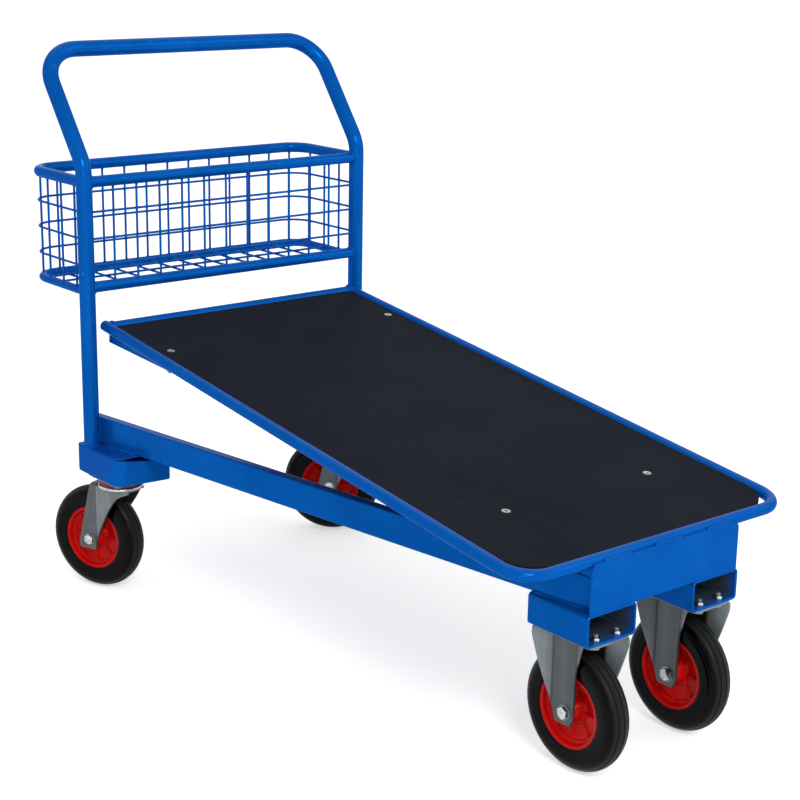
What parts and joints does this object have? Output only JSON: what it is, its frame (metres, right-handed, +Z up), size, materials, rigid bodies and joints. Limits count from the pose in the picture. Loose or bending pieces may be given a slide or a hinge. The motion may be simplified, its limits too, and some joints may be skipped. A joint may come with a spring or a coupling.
{
  "type": "nestable cash and carry trolley",
  "caption": "Nestable platform trolley with a sloping tube-framed deck, a bent tube push handle, a wire mesh basket, fixed front castors and swivelling rear castors.",
  "frame": {"origin": "centre of the bounding box's bottom, on the floor", "axes": "+Z up, -Y towards the low front end, +Y towards the handle and the person who pushes, +X to that person's left"},
  "size_m": [0.6882, 1.4197, 1.0232],
  "materials": {
    "blue_paint": "gloss powder coat",
    "deck_board": "phenolic coated plywood, satin",
    "tyre": "satin",
    "red_hub": "moulded",
    "red_seal": "moulded",
    "castor_zinc": "zinc plated",
    "fastener_steel": "bright zinc plated",
    "bearing_plastic": "plain"
  },
  "bodies": {
    "frame": {"basket_bottom_rim": "blue_paint", "basket_floor_mesh": "blue_paint", "basket_front_bottom_tube": "blue_paint", "basket_front_mesh": "blue_paint", "basket_front_top_tube": "blue_paint", "basket_side_mesh": "blue_paint", "basket_top_rim": "blue_paint", "deck_bearer_left": "blue_paint", "deck_bearer_right": "blue_paint", "deck_board": "deck_board", "deck_bolts": "fastener_steel", "deck_nuts": "fastener_steel", "deck_rear_tube": "blue_paint", "deck_side_tube": "blue_paint", "deck_tube_plugs": "blue_paint", "front_axle_left": "fastener_steel", "front_axle_right": "fastener_steel", "front_castor_bolts": "fastener_steel", "front_castor_nuts": "fastener_steel", "front_channel_left": "blue_paint", "front_channel_right": "blue_paint", "front_fork_left": "castor_zinc", "front_fork_right": "castor_zinc", "front_plate": "blue_paint", "handle": "blue_paint", "rear_balls_left": "fastener_steel", "rear_balls_right": "fastener_steel", "rear_box_cap_left": "blue_paint", "rear_box_cap_right": "blue_paint", "rear_box_left": "blue_paint", "rear_box_right": "blue_paint", "rear_castor_bolts": "fastener_steel", "rear_castor_nuts": "fastener_steel", "rear_castor_plate_left": "castor_zinc", "rear_castor_plate_right": "castor_zinc", "rear_king_pin_left": "fastener_steel", "rear_king_pin_right": "fastener_steel", "rear_seal_left": "red_seal", "rear_seal_right": "red_seal", "side_rail_left": "blue_paint", "side_rail_right": "blue_paint"},
    "front_wheel_right": {"front_tyre_right": "tyre", "front_hub_right": "red_hub", "front_bearing_right": "bearing_plastic"},
    "rear_swivel_right": {"rear_fork_right": "castor_zinc", "rear_axle_right": "fastener_steel"},
    "rear_wheel_right": {"rear_tyre_right": "tyre", "rear_hub_right": "red_hub", "rear_bearing_right": "bearing_plastic"},
    "front_wheel_left": {"front_tyre_left": "tyre", "front_hub_left": "red_hub", "front_bearing_left": "bearing_plastic"},
    "rear_swivel_left": {"rear_fork_left": "castor_zinc", "rear_axle_left": "fastener_steel"},
    "rear_wheel_left": {"rear_tyre_left": "tyre", "rear_hub_left": "red_hub", "rear_bearing_left": "bearing_plastic"}
  },
  "joints": [
    {"name": "front_wheel_right_spin", "type": "hinge", "parent": "frame", "child": "front_wheel_right", "pos_m": [-0.10088, -0.60987, 0.09998], "axis": [1, 0, 0], "continuous": true},
    {"name": "rear_castor_right_swivel", "type": "hinge", "parent": "frame", "child": "rear_swivel_right", "pos_m": [-0.27138, 0.44535, 0.22998], "axis": [0, 0, 1], "continuous": true},
    {"name": "rear_wheel_right_spin", "type": "hinge", "parent": "rear_swivel_right", "child": "rear_wheel_right", "pos_m": [-0.29199, 0.49634, 0.09998], "axis": [0.9272, 0.3746, 0], "continuous": true},
    {"name": "front_wheel_left_spin", "type": "hinge", "parent": "frame", "child": "front_wheel_left", "pos_m": [0.12912, -0.60987, 0.09998], "axis": [1, 0, 0], "continuous": true},
    {"name": "rear_castor_left_swivel", "type": "hinge", "parent": "frame", "child": "rear_swivel_left", "pos_m": [0.29962, 0.44535, 0.22998], "axis": [0, 0, 1], "continuous": true},
    {"name": "rear_wheel_left_spin", "type": "hinge", "parent": "rear_swivel_left", "child": "rear_wheel_left", "pos_m": [0.26211, 0.48557, 0.09998], "axis": [0.7314, 0.682, 0], "continuous": true}
  ]
}
